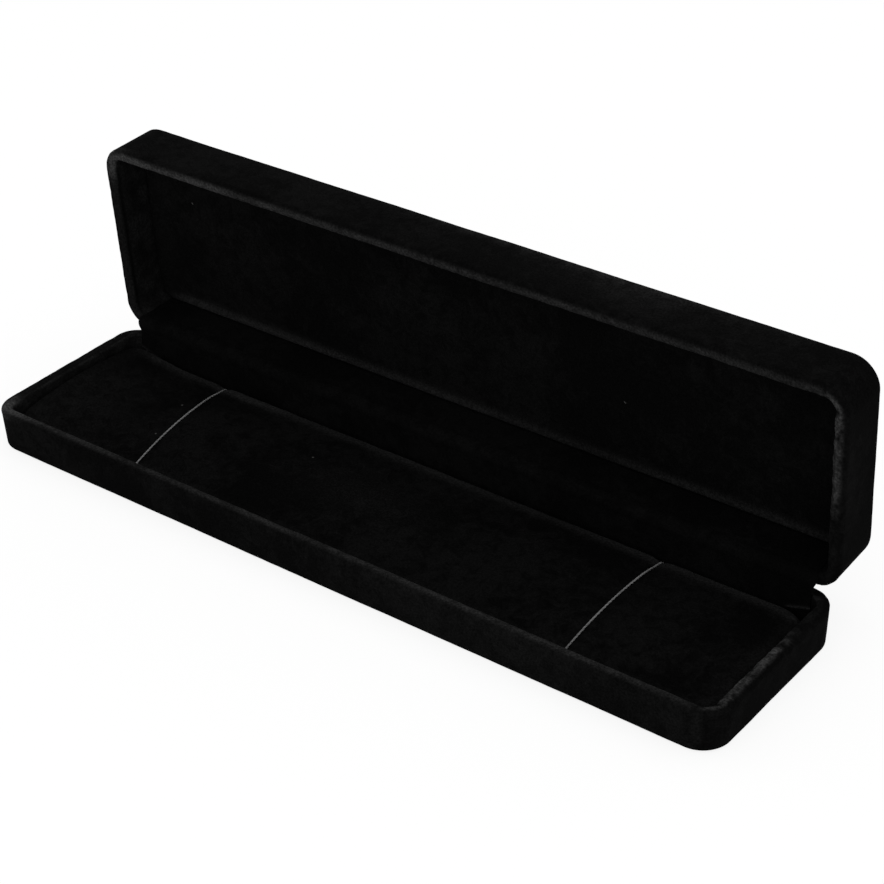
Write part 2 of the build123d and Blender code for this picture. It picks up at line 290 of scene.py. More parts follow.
def velvet(name, dark, pale, paintedSheenColour, sheen):
    # Woven velvet, its short pile upright and dyed black. It drinks light where the pile faces the eye, and
    # shows pressed patches.
    # The grey sheen where the pile splays round an edge, and paler places where light falls, are painted
    # into its colour from a mark on the mesh.
    material, tree = newMaterial(name)
    place = addNode(tree, "TexCoord", {}).outputs["Object"]
    tufts = addNode(tree, "TexNoise", {
        "Vector": place, "Scale": 1 / (velvetLook["tuft"] * mm), "Detail": 2.0, "Roughness": 0.6})
    crush = addNode(tree, "TexNoise", {
        "Vector": place, "Scale": 1 / (velvetLook["crush"] * mm), "Detail": 3.0, "Roughness": 0.65,
        "Distortion": 0.6})
    drift = addNode(tree, "TexNoise", {
        "Vector": place, "Scale": 1 / (velvetLook["drift"] * mm), "Detail": 2.0, "Roughness": 0.5})
    patches = addNode(tree, "Math", {0: crush.outputs["Fac"], 1: drift.outputs["Fac"]}, operation="MULTIPLY")
    lying = addNode(tree, "MapRange", {"Value": patches.outputs[0], "From Min": 0.19, "From Max": 0.34})
    ground = addNode(tree, "Mix", {
        "Factor": lying.outputs["Result"], "A": toLinear(dark), "B": toLinear(pale)}, data_type="RGBA")
    # painted sheen and painted light: a paler colour mixed in, in clumps, where the mesh's mark asks
    paintedSheen = addNode(tree, "Attribute", {}, attribute_name="paintedSheen")
    clumps = addNode(tree, "MapRange", {
        "Value": tufts.outputs["Fac"], "From Min": 0.35, "From Max": 0.65, "To Min": 0.55, "To Max": 1.0})
    paintedSheenShare = addNode(tree, "Math", {0: paintedSheen.outputs["Fac"], 1: clumps.outputs["Result"]},
                         operation="MULTIPLY")
    rimmed = addNode(tree, "Mix", {
        "Factor": paintedSheenShare.outputs[0], "A": ground.outputs["Result"], "B": toLinear(paintedSheenColour)},
        data_type="RGBA")
    grain = addNode(tree, "MapRange", {
        "Value": tufts.outputs["Fac"], "From Min": 0.3, "From Max": 0.7, "To Min": 0.7, "To Max": 1.35})
    grained = addNode(tree, "VectorMath", {
        0: rimmed.outputs["Result"], "Scale": grain.outputs["Result"]}, operation="SCALE")
    # the specks' cells are laid flat, on a slant, so that each side of the box cuts them fairly
    acrossX = addNode(tree, "VectorMath", {0: place, 1: (1.0, 0.0, 0.7)}, operation="DOT_PRODUCT")
    acrossY = addNode(tree, "VectorMath", {0: place, 1: (0.0, 1.0, 1.0)}, operation="DOT_PRODUCT")
    flat = addNode(tree, "CombineXYZ", {"X": acrossX.outputs["Value"], "Y": acrossY.outputs["Value"]})
    cells = addNode(tree, "TexVoronoi", {
        "Vector": flat.outputs["Vector"], "Scale": 1 / (velvetLook["lint"] * mm)}, voronoi_dimensions="2D")
    speck = addNode(tree, "Math", {
        0: cells.outputs["Distance"], 1: velvetLook["lintSize"] / velvetLook["lint"]}, operation="LESS_THAN")
    chosen = addNode(tree, "Math", {
        0: cells.outputs["Color"], 1: velvetLook["lintShare"]}, operation="LESS_THAN")
    lint = addNode(tree, "Math", {0: speck.outputs[0], 1: chosen.outputs[0]}, operation="MULTIPLY")
    linted = addNode(tree, "Mix", {
        "Factor": lint.outputs[0], "A": grained.outputs["Vector"], "B": toLinear(velvetLook["lintColour"])},
        data_type="RGBA")
    relief = addNode(tree, "Bump", {
        "Height": tufts.outputs["Fac"], "Distance": velvetLook["relief"] * mm, "Strength": 0.8})
    shader = addNode(tree, "BsdfPrincipled", {
        "Base Color": linted.outputs["Result"], "Roughness": 0.95, "Specular IOR Level": 0.005,
        "Sheen Weight": sheen, "Sheen Roughness": 0.35, "Sheen Tint": toLinear("#8C8C8C"),
        "Normal": relief.outputs["Normal"]})
    addNode(tree, "OutputMaterial", {"Surface": shader.outputs["BSDF"]})
    return material


def steel(name, bright, dull, metallic, roughness):
    # Cold-rolled strip steel with a chemical finish: fine rolling lines along it, satin shine.
    # The real lines are 0.1 mm apart, too fine to show, and are drawn 0.25 mm apart.
    material, tree = newMaterial(name)
    place = addNode(tree, "TexCoord", {}).outputs["Object"]
    stretched = addNode(tree, "Mapping", {"Vector": place, "Scale": (0.06, 1.0, 1.0)})
    lines = addNode(tree, "TexNoise", {
        "Vector": stretched.outputs["Vector"], "Scale": 1 / (0.25 * mm), "Detail": 3.0})
    stain = addNode(tree, "TexNoise", {"Vector": place, "Scale": 1 / (5 * mm), "Detail": 4.0})
    share = addNode(tree, "Math", {0: lines.outputs["Fac"], 1: stain.outputs["Fac"]}, operation="MULTIPLY")
    colour = addNode(tree, "Mix", {
        "Factor": share.outputs[0], "A": toLinear(dull), "B": toLinear(bright)}, data_type="RGBA")
    rough = addNode(tree, "MapRange", {
        "Value": stain.outputs["Fac"], "From Min": 0.3, "From Max": 0.7,
        "To Min": roughness - 0.08, "To Max": roughness + 0.12})
    relief = addNode(tree, "Bump", {
        "Height": lines.outputs["Fac"], "Distance": 0.01 * mm, "Strength": 0.5})
    shader = addNode(tree, "BsdfPrincipled", {
        "Base Color": colour.outputs["Result"], "Metallic": metallic, "Roughness": rough.outputs["Result"],
        "Normal": relief.outputs["Normal"]})
    addNode(tree, "OutputMaterial", {"Surface": shader.outputs["BSDF"]})
    return material


def dullStuff(name, dark, pale, grain, relief, roughness, shine):
    # Board, foam, flocked moulding: one dull colour broken up by the stuff's own grain.
    material, tree = newMaterial(name)
    place = addNode(tree, "TexCoord", {}).outputs["Object"]
    fine = addNode(tree, "TexNoise", {"Vector": place, "Scale": 1 / (grain * mm), "Detail": 4.0})
    broad = addNode(tree, "TexNoise", {"Vector": place, "Scale": 1 / (18 * mm), "Detail": 2.0})
    share = addNode(tree, "Math", {0: fine.outputs["Fac"], 1: broad.outputs["Fac"]}, operation="ADD")
    spread = addNode(tree, "MapRange", {"Value": share.outputs[0], "From Min": 0.7, "From Max": 1.3})
    colour = addNode(tree, "Mix", {
        "Factor": spread.outputs["Result"], "A": toLinear(dark), "B": toLinear(pale)}, data_type="RGBA")
    bump = addNode(tree, "Bump", {
        "Height": fine.outputs["Fac"], "Distance": relief * mm, "Strength": 0.7})
    shader = addNode(tree, "BsdfPrincipled", {
        "Base Color": colour.outputs["Result"], "Roughness": roughness, "Specular IOR Level": shine,
        "Normal": bump.outputs["Normal"]})
    addNode(tree, "OutputMaterial", {"Surface": shader.outputs["BSDF"]})
    return material


# the fourth colour of each velvet is its painted sheen
outerVelvet = velvet("blackVelvetWrapping", "#080808", "#0E0E0E", "#3C3C3C", 0.02)
padVelvetFinish = velvet("blackVelvetPad", "#060606", "#0D0D0D", "#242424", 0.015)
liningVelvetFinish = velvet("blackVelvetLining", "#080808", "#0E0E0E", "#242424", 0.02)
stripVelvetFinish = velvet("blackVelvetStrip", "#070707", "#0C0C0C", "#242424", 0.02)
elasticFinish = dullStuff("greyCoveredElastic", "#484848", "#868686", 0.3, 0.03, 0.8, 0.2)
shellFinish = dullStuff("blackFlockedStyrene", "#050505", "#0A0A0A", 0.4, 0.03, 0.95, 0.01)
boardFinish = dullStuff("greyBoard", "#4E4A45", "#6A655E", 0.7, 0.04, 0.9, 0.3)
foamFinish = dullStuff("charcoalFoam", "#1E1E1E", "#343434", 0.5, 0.15, 0.95, 0.1)
panelFinish = dullStuff("blackFlockedBoard", "#0A0A0A", "#121212", 0.6, 0.06, 0.95, 0.02)
hingeFinish = steel("blackOxideSteel", "#3C3C3E", "#1C1C1D", 0.9, 0.42)
springFinish = steel("blueGreySpringSteel", "#8A8C90", "#55575B", 1.0, 0.32)
rivetFinish = steel("nickelPlatedSteel", "#A9A59C", "#7F7B73", 1.0, 0.3)
print("materials ready")


# Base: velvet wrapped round the moulding

baseCover = {
    "up": 1,                # its hollow opens upwards
    "flat": 0.2,            # height of the bottom
    "flatFrom": case["turnedIn"],  # inset at which the section begins
    "flatStep": 0.8,
    "hollowEnd": 2.2,       # height of the hollow's floor
    "rim": 11.2,
    "draft": 2.3,           # degrees
    "edgeRound": 1.0,
    "leastRound": 0.4,
    "edgePoints": 7,
    "backOfLeaf": 24.75,    # the wrapping stops behind the hinge leaf
    "leafHalf": 100.05,     # the leaf's half length, and the height of its lower edge
    "leafFoot": 3.55,
    "rimWaver": 0.10,
    "wallWaver": 0.07,
    # share of painted sheen along the rim, and what it loses between two places
    "frontSheen": (1.30, [(1.0, -112, -90)]),
    "rightSheen": (0.47, [(0.42, 1, 13)]),
    "leftSheen": (1.15, [(1.1, -25, -17)]),
    "rearSheen": 0.05,
    "lostAtRight": 0.4,     # share of the front's painted sheen that is lost at the right end
    # painted light: paler colour growing towards the right on the front wall and on the lit left wall of the
    # hollow, and a painted highlight round the left front corner
    "frontLit": (0.03, -60, 70),  # growing between two places
    "leftWallLit": (0.13, 3, 12),     # on the hollow's left wall, between two heights
    "cornerHighlight": 0.8,
}
rimShape = {
    "stations": 21,
    "across": 0.86,  # powers below 1 make the rim squarer than half an ellipse
    "rise": 0.8,
}


def rimCrown(rim, base, layer):  # over the rim from outside to inside
    half = case["wall"] / 2 - layer
    points = []
    for t in np.linspace(0, 1, rimShape["stations"]):
        across = -np.sign(cos(pi * t)) * abs(cos(pi * t)) ** rimShape["across"]
        height = base + (rim - base) * sin(pi * t) ** rimShape["rise"]
        points.append((case["wall"] / 2 + half * across, height, t))
    return points


def coverSection(sizes, layer):
    # inset, height and share of the hollow's corners, from the flat bottom or top round the edge, up the
    # wall, over the rim and down to the end of the hollow, layer mm below the velvet's face
    up = sizes["up"]
    lean = tan(radians(sizes["draft"]))
    flat = sizes["flat"] + up * layer
    edge = max(sizes["edgeRound"] - layer, sizes["leastRound"])
    wallStart = flat + up * edge
    wallInset = layer + lean * abs(sizes["rim"] - wallStart)
    crownBase = sizes["rim"] - up * case["rimDepth"]
    face = case["wall"] - layer
    outer = run((sizes["flatFrom"], flat), (wallInset + edge, flat), sizes["flatStep"])
    outer += arc((wallInset + edge, wallStart), edge, -90 * up, -180 * up, sizes["edgePoints"])[:-1]
    outer += run((wallInset, wallStart), (layer + lean * case["rimDepth"], crownBase), case["sectionStep"])
    inner = run((face, crownBase), (face, sizes["hollowEnd"]), case["sectionStep"])[1:]
    inner.append((face, sizes["hollowEnd"]))
    section = [(d, z, 0.0) for d, z in outer]
    section += rimCrown(sizes["rim"] - up * layer, crownBase, layer)
    return section + [(d, z, 1.0) for d, z in inner]


casePlan = {
    "halfLength": caseHalfLength,
    "halfWidth": caseHalfWidth,
    "corner": case["cornerRadius"],
    "hollowCorner": case["cavityCorner"] + case["wall"],
    "leastRadius": 0.6,
    "shares": ringStations(caseHalfLength - case["cornerRadius"], []),
}


def insetOf(points, plan):  # how far each point lies inside the plan's outline
    x = np.abs(points[:, 0]) - (plan["halfLength"] - plan["corner"])
    y = np.abs(points[:, 1]) - (plan["halfWidth"] - plan["corner"])
    corner = np.hypot(np.maximum(x, 0), np.maximum(y, 0))
    return plan["corner"] - np.where((x > 0) & (y > 0), corner, np.maximum(x, y))


pile = {  # how the wrapping's cloth and pile vary: sizes in mm, and the share of each
    "wave": 7.0,               # along the rim
    "clump": 2.2,
    "fineClump": 1.0,
    "fineShare": 0.7,
    "clumpShare": 0.6,
    "clumpsAtRight": 0.9,      # and that much more at the right end
    "pressed": 0.3,            # how far the whole rim sits lower, as a share of its waver
    "dent": 14.0,              # on the walls
    "ripple": 2.6,
    "rippleShare": 0.4,
    "waverFade": (0.8, 2.4),   # below the rim's top, where its waver dies out
    "bandFade": (0.5, 1.6),    # and its band of painted sheen
    "bandStart": (0.5, 2.1),   # in from the outside, where the band begins
    "bandEnd": (3.3, 3.7),
    "patch": 9.0,              # along the band
    "patchShare": 0.5,
    "paleClumps": 0.5,
    "paleClumpsAtRight": 1.2,
    "paintedLightPatch": 3.0,
    "frontFace": -26,          # the front wall is in front of this
    "leftWall": (-107, -104),  # and the hollow's left wall between these
    "highlightedCorner": (-109, -26),    # the left front corner, where the highlight is painted
    "highlightedCornerReach": 5,
    "highlightedCornerDepth": 1.6,
}
rimPlaces = {  # mm, where each stretch of the rim begins and is full
    "front": (-24, -20),
    "rear": (20, 24),
    "right": (100, 105),
    "left": (-106, -102),
}


def belowRim(points, sizes):  # depth from the rim into the piece, in mm
    return (points[:, 2] - sizes["rim"]) * -sizes["up"]


def sheenAt(place, sheenShare):  # the first share, less what it has lost up to that place
    share, losses = sheenShare
    return share - sum(lost * ease(place, low, high) for lost, low, high in losses)


def rimSheen(points, sizes):  # share of painted sheen along the rim
    x, y, _ = points.T
    alongFront = 1 - ease(y, *rimPlaces["front"])
    atRight = ease(x, *rimPlaces["right"])
    atLeft = 1 - ease(x, *rimPlaces["left"])
    front = sheenAt(x, sizes["frontSheen"]) * alongFront * (1 - sizes["lostAtRight"] * atRight)
    ends = np.maximum(sheenAt(y, sizes["rightSheen"]) * atRight, sheenAt(y, sizes["leftSheen"]) * atLeft)
    return np.maximum(front, ends) + sizes["rearSheen"] * ease(y, *rimPlaces["rear"])


def paintedLightAtLeft(points, sizes):  # painted light on the hollow's left wall at the left end, which faces the light, and a painted highlight round its front corner
    x, y, z = points.T
    share, low, high = sizes["leftWallLit"]
    onWall = between(x, *pile["leftWall"]) * between(y, -rearInner, rearInner) * between(z, low, high)
    cornerX, cornerY = pile["highlightedCorner"]
    onCorner = around(x, cornerX, pile["highlightedCornerReach"]) * around(y, cornerY, pile["highlightedCornerReach"])
    onCorner *= belowRim(points, sizes) < pile["highlightedCornerDepth"]
    return share * onWall + sizes["cornerHighlight"] * onCorner


# painted light: the front wall grows paler towards the right, where more light falls
def basePaintedLight(points):
    x, y, _ = points.T
    share, low, high = baseCover["frontLit"]
    return share * ease(x, low, high) * (y < pile["frontFace"]) + paintedLightAtLeft(points, baseCover)


def roughenCover(piece, sizes, paintedLight):
    # the rolled rim wavers and clumps, the walls undulate a little; only the face, not the glued back
    points = readVertices(piece, "co")
    normals = readVertices(piece, "normal")
    depth = belowRim(points, sizes)
    inward = insetOf(points, casePlan)
    face = readMark(piece, "face")
    onRim = (1 - ease(depth, *pile["waverFade"])) * face
    atRight = ease(points[:, 0], *rimPlaces["right"])
    clumps = unevenness(points, pile["clump"], 1)
    clumps += pile["fineShare"] * unevenness(points, pile["fineClump"], 2)
    clumpShare = pile["clumpShare"] + pile["clumpsAtRight"] * atRight
    waver = unevenness(points * (0.5, 1, 1), pile["wave"], 3)
    dents = unevenness(points, pile["dent"], 4)
    ripples = unevenness(points, pile["ripple"], 5)
    move = face * sizes["wallWaver"] * (dents + pile["rippleShare"] * ripples)
    move += onRim * sizes["rimWaver"] * (waver + clumpShare * clumps - pile["pressed"])
    setPoints(piece, points + normals * move[:, None])
    # painted sheen along the inner half of the rim, where the splayed pile catches the light, stronger or
    # weaker along the rim, with the painted light added
    band = (1 - ease(depth, *pile["bandFade"])) * ease(inward, *pile["bandStart"])
    band *= 1 - ease(inward, *pile["bandEnd"])
    patches = unevenness(points * (0.6, 1, 1), pile["patch"], 6)
    paleClumps = clumps * (pile["paleClumps"] + pile["paleClumpsAtRight"] * atRight)
    paintedSheen = band * (1 + pile["patchShare"] * patches + paleClumps) * rimSheen(points, sizes)
    paintedSheen += paintedLight(points) * (1 + unevenness(points, pile["paintedLightPatch"], 7))
    setMark(piece, "paintedSheen", np.clip(paintedSheen, 0, 1) * face)


def coverPiece(name, sizes, closedSection):
    outer = coverSection(sizes, 0.0)
    inner = coverSection(sizes, case["velvet"])
    rings = [ringAt(casePlan, d, z, share) for d, z, share in outer + inner[::-1]]
    return meshFromRings(name, rings, closedSection, faceRings=len(outer))


baseVelvet = coverPiece("baseVelvet", baseCover, closedSection=True)
roughenCover(baseVelvet, baseCover, basePaintedLight)
cutSpare = 2.0    # mm that a cut reaches past the cloth
floorSpare = 0.5  # and past the hollow's floor or ceiling
backSpare = 0.02  # keeps a cut's side off the cloth's glued back
cutBoxes(baseVelvet, [
    ((-case["bareHalf"], rearInner - cutSpare, baseCover["hollowEnd"] - floorSpare),
     (case["bareHalf"], rearInner + case["velvet"] + backSpare, baseCover["rim"] + cutSpare)),
    ((-baseCover["leafHalf"], rearInner - cutSpare, baseCover["leafFoot"]),
     (baseCover["leafHalf"], baseCover["backOfLeaf"], baseCover["rim"] + cutSpare)),
])
finishPiece(baseVelvet, outerVelvet, "base")
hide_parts("base_velvet_cover")
print("base wrapping done", len(baseVelvet.data.polygons))


# Lid: the same wrapping, with a closed top

lidCover = {
    "up": -1,
    "flat": 27.2,           # height of the top, as the lid lies shut
    "flatFrom": caseHalfWidth,
    "flatStep": 1.0,
    "hollowEnd": 25.2,      # height of the hollow's ceiling
    "rim": 11.6,
    "draft": 0.8,
    "edgeRound": 1.6,
    "leastRound": 0.6,
    "edgePoints": 8,
    "slotTop": 14.3,        # of the slot for the knuckles
    "rimWaver": 0.11,
    "wallWaver": 0.08,
    "frontSheen": (1.36, [(0.7, -108, -88), (0.3, -80, -10), (0.06, 0, 60)]),
    "rightSheen": (0.67, [(0.28, -23, -8), (0.34, 1, 8)]),
    "leftSheen": (1.10, [(1.0, -25, -15)]),
    "rearSheen": 0.03,
    "lostAtRight": 0.0,
    # painted highlight patches: share, in front of y, and the middle and reach along x and z
    "highlightPatches": [
        (0.09, -26, 48, 27, 24, 6),      # on the front wall
        (0.18, -24.5, 30, 50, 26, 1.6),  # along its top edge
    ],
    "leftWallLit": (0.14, 13, 26),
    "cornerHighlight": 0.5,
}


def lidPaintedLight(points):
    x, y, z = points.T
    share = paintedLightAtLeft(points, lidCover)
    for most, front, along, alongReach, height, heightReach in lidCover["highlightPatches"]:
        share += most * (y < front) * around(x, along, alongReach) * around(z, height, heightReach)
    return share


lidVelvet = coverPiece("lidVelvet", lidCover, closedSection=False)
roughenCover(lidVelvet, lidCover, lidPaintedLight)
cutBoxes(lidVelvet, [
    ((-case["bareHalf"], rearInner - cutSpare, lidCover["rim"] - cutSpare),
     (case["bareHalf"], caseHalfWidth + cutSpare, lidCover["slotTop"])),
    ((-case["bareHalf"], rearInner - cutSpare, lidCover["rim"] - cutSpare),
     (case["bareHalf"], rearInner + case["velvet"] + backSpare, lidCover["hollowEnd"] + floorSpare)),
])
finishPiece(lidVelvet, outerVelvet, "lid", swungOpen=True)
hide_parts("lid_velvet_cover")
print("lid wrapping done", len(lidVelvet.data.polygons))


# Pad and lining: velvet drawn over foam or wadding, turned in under a board

padSizes = {
    "halfLength": 105.65,
    "halfWidth": 22.9,
    "foot": 2.2,
    "crown": 5.6,
    "side": 3.3,
    "corner": 8.0,
    "shoulder": 2.0,
    "up": 1,
    "waver": 0.14,
    "threads": [(-68.3, 9.5), (66.2, 1.6)],  # place along the pad, and lean in degrees
    "threadDent": 0.16,
    "pull": 0.5,          # how far the threads draw the pad's front edge down
    "hingeRise": 0.7,     # the edge by the hinge stands a little prouder, but under the threads
    "leftRise": 2.3,      # and so does the left end
    "leftSquare": 1.4,    # and its corners are squarer
    "edgeHighlight": 0.9,
    "edgePlace": 1.7,     # of the painted highlight line along the edges, from the outline
    "edgeWidth": 2.3,
    "edgeFade": 0.2,      # share of it lost towards the right end
    "hotSpot": (-63, 8, 1.4),  # where the painted highlight is brighter still: place, reach and share
    "patches": [(-8, 1, 20, 9, 0.16), (-100, -4, 14, 16, 0.10)],  # paler places: where, reach and share; the one at the left end is painted sheen
}
liningSizes = {
    "halfLength": 106.05,
    "halfWidth": 23.3,
    "foot": 25.2,
    "crown": 3.9,
    "side": 2.9,
    "corner": 2.6,
    "shoulder": 1.2,
    "up": -1,
    "waver": 0.10,
    "threads": [],
    "hingeRise": 0.0,
    "leftRise": 0.0,
    "leftSquare": 0.0,
    "edgeHighlight": 1.2,
    "edgePlace": 1.6,
    "edgeWidth": 1.6,
    "edgeFade": 0.5,
    "hotSpot": (-95, 20, 0.4),
    # paler places; the one at the left end is painted light that lifts the shaded end of the lining
    "patches": [(-8, 1, 20, 9, 0.03), (-104, 0, 6, 30, 0.12)],
}
drawn = {  # how the cloth varies where it is drawn over the edge and under the threads, in mm
    "margin": 7.0,         # turned in under the board
    "turn": 0.5,           # corner there
    "crownStep": 0.9,      # between the mesh's points
    "raised": (0.3, 1.3),  # above the board, where the cloth is free to move
    "swell": 18.0,
    "ripple": 6.0,
    "rippleShare": 0.5,
    "nap": 1.4,
    "napHeight": 0.03,
    "pucker": 3.0,         # small puckers along the edge
    "puckerHeight": 0.06,
    "puckerPlace": 1.0,    # in from the outline, and how far they reach
    "puckerReach": 1.4,
    "dents": [(0.6, 0.42), (0.4, 2.6)],  # under a thread, one narrow and one wide: share and reach
    "finer": 2,            # of finer mesh to each side of a thread
    "pulledReach": 9.0,    # to each side of it, where it draws the front edge down
    "heldReach": 1.6,      # right under it, where the cloth is neither drawn down nor raised
    "frontReach": 3.0,     # in from the front edge
    "hingeSide": (12, 2),  # the edge by the hinge rises between these, from the outline
    "leftEnd": (-108, -84),
    "paleHingeSide": (7, 4),
    "paleElsewhere": 0.2,  # share of the paler line along the other edges
    "paleLeftEnd": (-105, -94),
    "paleFade": (-80, 60),
    "palePatch": 11.0,
    "palePatchShare": 0.5,
}


def archRadius(halfWidth, rise):  # of a shallow arch over the whole width
    return (halfWidth ** 2 + rise ** 2) / (2 * rise)


def crownHeight(points, sizes):  # height of the stretched velvet above its board
    radius = archRadius(sizes["halfWidth"], sizes["crown"] - sizes["side"])
    y = np.clip(points[:, 1], -sizes["halfWidth"], sizes["halfWidth"])
    return sizes["crown"] - radius + np.sqrt(radius ** 2 - y ** 2)


def padSkin(sizes, plan, layer):  # rings from the turned-in edge below the board to the middle of the crown
    shoulder = sizes["shoulder"] - layer
    turn = drawn["turn"]
    low = [(d, layer) for d, _ in run((drawn["margin"], 0), (layer + turn, 0), case["sectionStep"])]
    low += arc((layer + turn, layer + turn), turn, 270, 180, 5)
    rings = [ringAt(plan, d, z) for d, z in low]
    high = [d for d, _ in arc((layer + shoulder, 0), shoulder, 180, 100, 9)]
    high += [d for d, _ in run((layer + shoulder, 0), (sizes["halfWidth"], 0), drawn["crownStep"])[1:]]
    high.append(sizes["halfWidth"])
    for d in high:
        points = ringAt(plan, d, 0)
        toEdge = max(shoulder + layer - d, 0)
        rounded = sqrt(max(shoulder ** 2 - toEdge ** 2, 0))
        points[:, 2] = crownHeight(points, sizes) - layer - shoulder + rounded
        rings.append(points)
    return rings


def cornerShift(points, sizes):  # outward at the left corners, to square them
    past = -points[:, 0] - (sizes["halfLength"] - sizes["corner"])
    beside = np.abs(points[:, 1]) - (sizes["halfWidth"] - sizes["corner"])
    inCorner = (past > 0) & (beside > 0)
    turn = np.arctan2(np.maximum(beside, 0), np.maximum(past, 0))
    share = np.clip(np.hypot(past, beside) / sizes["corner"], 0, 1) ** 2
    push = sizes["leftSquare"] * inCorner * np.sin(2 * turn) ** 2 * share
    return np.column_stack([-push * np.cos(turn), np.sign(points[:, 1]) * push * np.sin(turn)])


def fromThread(points, place, lean):  # distance from a thread that leans across the pad
    return np.abs((points[:, 0] - place) * cos(radians(lean)) + points[:, 1] * sin(radians(lean)))


def clothMove(points, inward, soft, sizes):  # out of the stretched face, along its normals
    swells = unevenness(points * (0.5, 1, 1), drawn["swell"], 11)
    ripples = unevenness(points, drawn["ripple"], 12)
    move = soft * sizes["waver"] * (swells + drawn["rippleShare"] * ripples)
    move += soft * drawn["napHeight"] * unevenness(points, drawn["nap"], 13)
    puckered = soft * around(inward, drawn["puckerPlace"], drawn["puckerReach"])
    move += puckered * drawn["puckerHeight"] * unevenness(points * (1, 1, 0.3), drawn["pucker"], 14)
    for place, lean in sizes["threads"]:
        away = fromThread(points, place, lean)
        dent = sum(share * around(away, 0, reach) for share, reach in drawn["dents"])
        move -= soft * sizes["threadDent"] * dent
    return move


def fromHinge(points, sizes, span):  # 0 to 1 towards the edge by the hinge, between two distances from it
    return ease(points[:, 1], sizes["halfWidth"] - span[0], sizes["halfWidth"] - span[1])


def edgeLift(points, inward, raised, sizes):  # the left end and the edge by the hinge stand prouder
    lift = sizes["leftRise"] * (1 - ease(points[:, 0], *drawn["leftEnd"])) * raised
    byHinge = fromHinge(points, sizes, drawn["hingeSide"])
    byFront = around(inward, 0, drawn["frontReach"]) * (1 - byHinge)
    free = np.ones(len(points))
    for place, lean in sizes["threads"]:
        away = fromThread(points, place, lean)
        held = around(away, 0, drawn["heldReach"])
        lift -= sizes["pull"] * byFront * raised * (around(away, 0, drawn["pulledReach"]) - held)
        free -= held
    return lift + sizes["hingeRise"] * byHinge * free * raised


def paintedEdgeHighlight(points, inward, soft, sizes):  # painted highlight along the edges, where the rounded edge catches the light, most by the hinge
    byHinge = fromHinge(points, sizes, drawn["paleHingeSide"])
    line = around(inward, sizes["edgePlace"], sizes["edgeWidth"]) * soft
    line *= drawn["paleElsewhere"] + (1 - drawn["paleElsewhere"]) * byHinge
    patches = unevenness(points * (0.6, 1, 1), drawn["palePatch"], 15)
    sheenShare = sizes["edgeHighlight"] * (1 + drawn["palePatchShare"] * patches)
    place, reach, share = sizes["hotSpot"]
    sheenShare *= 1 + share * around(points[:, 0], place, reach)
    paintedSheen = line * sheenShare * (1 - sizes["edgeFade"] * ease(points[:, 0], *drawn["paleFade"]))
    paintedSheen *= ease(points[:, 0], *drawn["paleLeftEnd"])
    for x, y, reachX, reachY, share in sizes["patches"]:
        paintedSheen += share * soft * around(points[:, 0], x, reachX) * around(points[:, 1], y, reachY)
    return np.clip(paintedSheen, 0, 1)


def paddedPiece(name, sizes, material, body, replaced):
    crossed = [(place, drawn["finer"] + sizes["halfWidth"] * tan(radians(lean)))
               for place, lean in sizes["threads"]]
    plan = {
        **sizes,
        "hollowCorner": sizes["corner"],
        "leastRadius": 0.5,
        "shares": ringStations(sizes["halfLength"] - sizes["corner"], crossed),
    }
    outer = padSkin(sizes, plan, 0.0)
    inner = padSkin(sizes, plan, case["velvet"])
    piece = meshFromRings(name, outer[::-1] + inner, closedSection=False, faceRings=len(outer))
    points = readVertices(piece, "co")
    inward = insetOf(points, plan)
    raised = ease(points[:, 2], *drawn["raised"])
    soft = readMark(piece, "face") * raised
    moved = points + readVertices(piece, "normal") * clothMove(points, inward, soft, sizes)[:, None]
    moved[:, 2] += edgeLift(points, inward, raised, sizes)
    moved[:, :2] += cornerShift(points, sizes)
    moved[:, 2] = sizes["foot"] + sizes["up"] * moved[:, 2]
    setPoints(piece, moved)
    setMark(piece, "paintedSheen", paintedEdgeHighlight(points, inward, soft, sizes))
    inLid = sizes["up"] < 0
    if inLid:
        piece.data.flip_normals()
    finishPiece(piece, material, body, swungOpen=inLid)
    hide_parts(replaced)
    return piece


padVelvet = paddedPiece("padVelvet", padSizes, padVelvetFinish, "base",
                        "pad_velvet_cover")
liningVelvet = paddedPiece("liningVelvet", liningSizes, liningVelvetFinish, "lid",
                           "lid_pad_velvet")
print("pad and lining done", len(padVelvet.data.polygons), len(liningVelvet.data.polygons))


# Elastic threads, spun cover over a rubber core

thread = {
    "diameter": 0.48,
    "standoff": 0.22,
    "sink": 0.36,        # how far it bites into the pad's edge by the hinge
    "sinkFrom": (9, 3),  # between these distances from its end
    "turn": 0.9,         # corner under the board
    "plies": 3,
    "pitch": 1.3,        # mm along the thread for one turn of the cover
    "rib": 0.035,
    "step": 0.14,
    "sides": 14,
    "topPoints": 39,
    "topShare": 1.3,     # the top's points keep that many radii off its corners
    "turnPoints": 9,
}


def turnBetween(start, end):  # the first direction's angle, and the turn from it to the second
    angle = atan2(start[1], start[0])
    return angle, (atan2(end[1], end[0]) - angle + pi) % (2 * pi) - pi


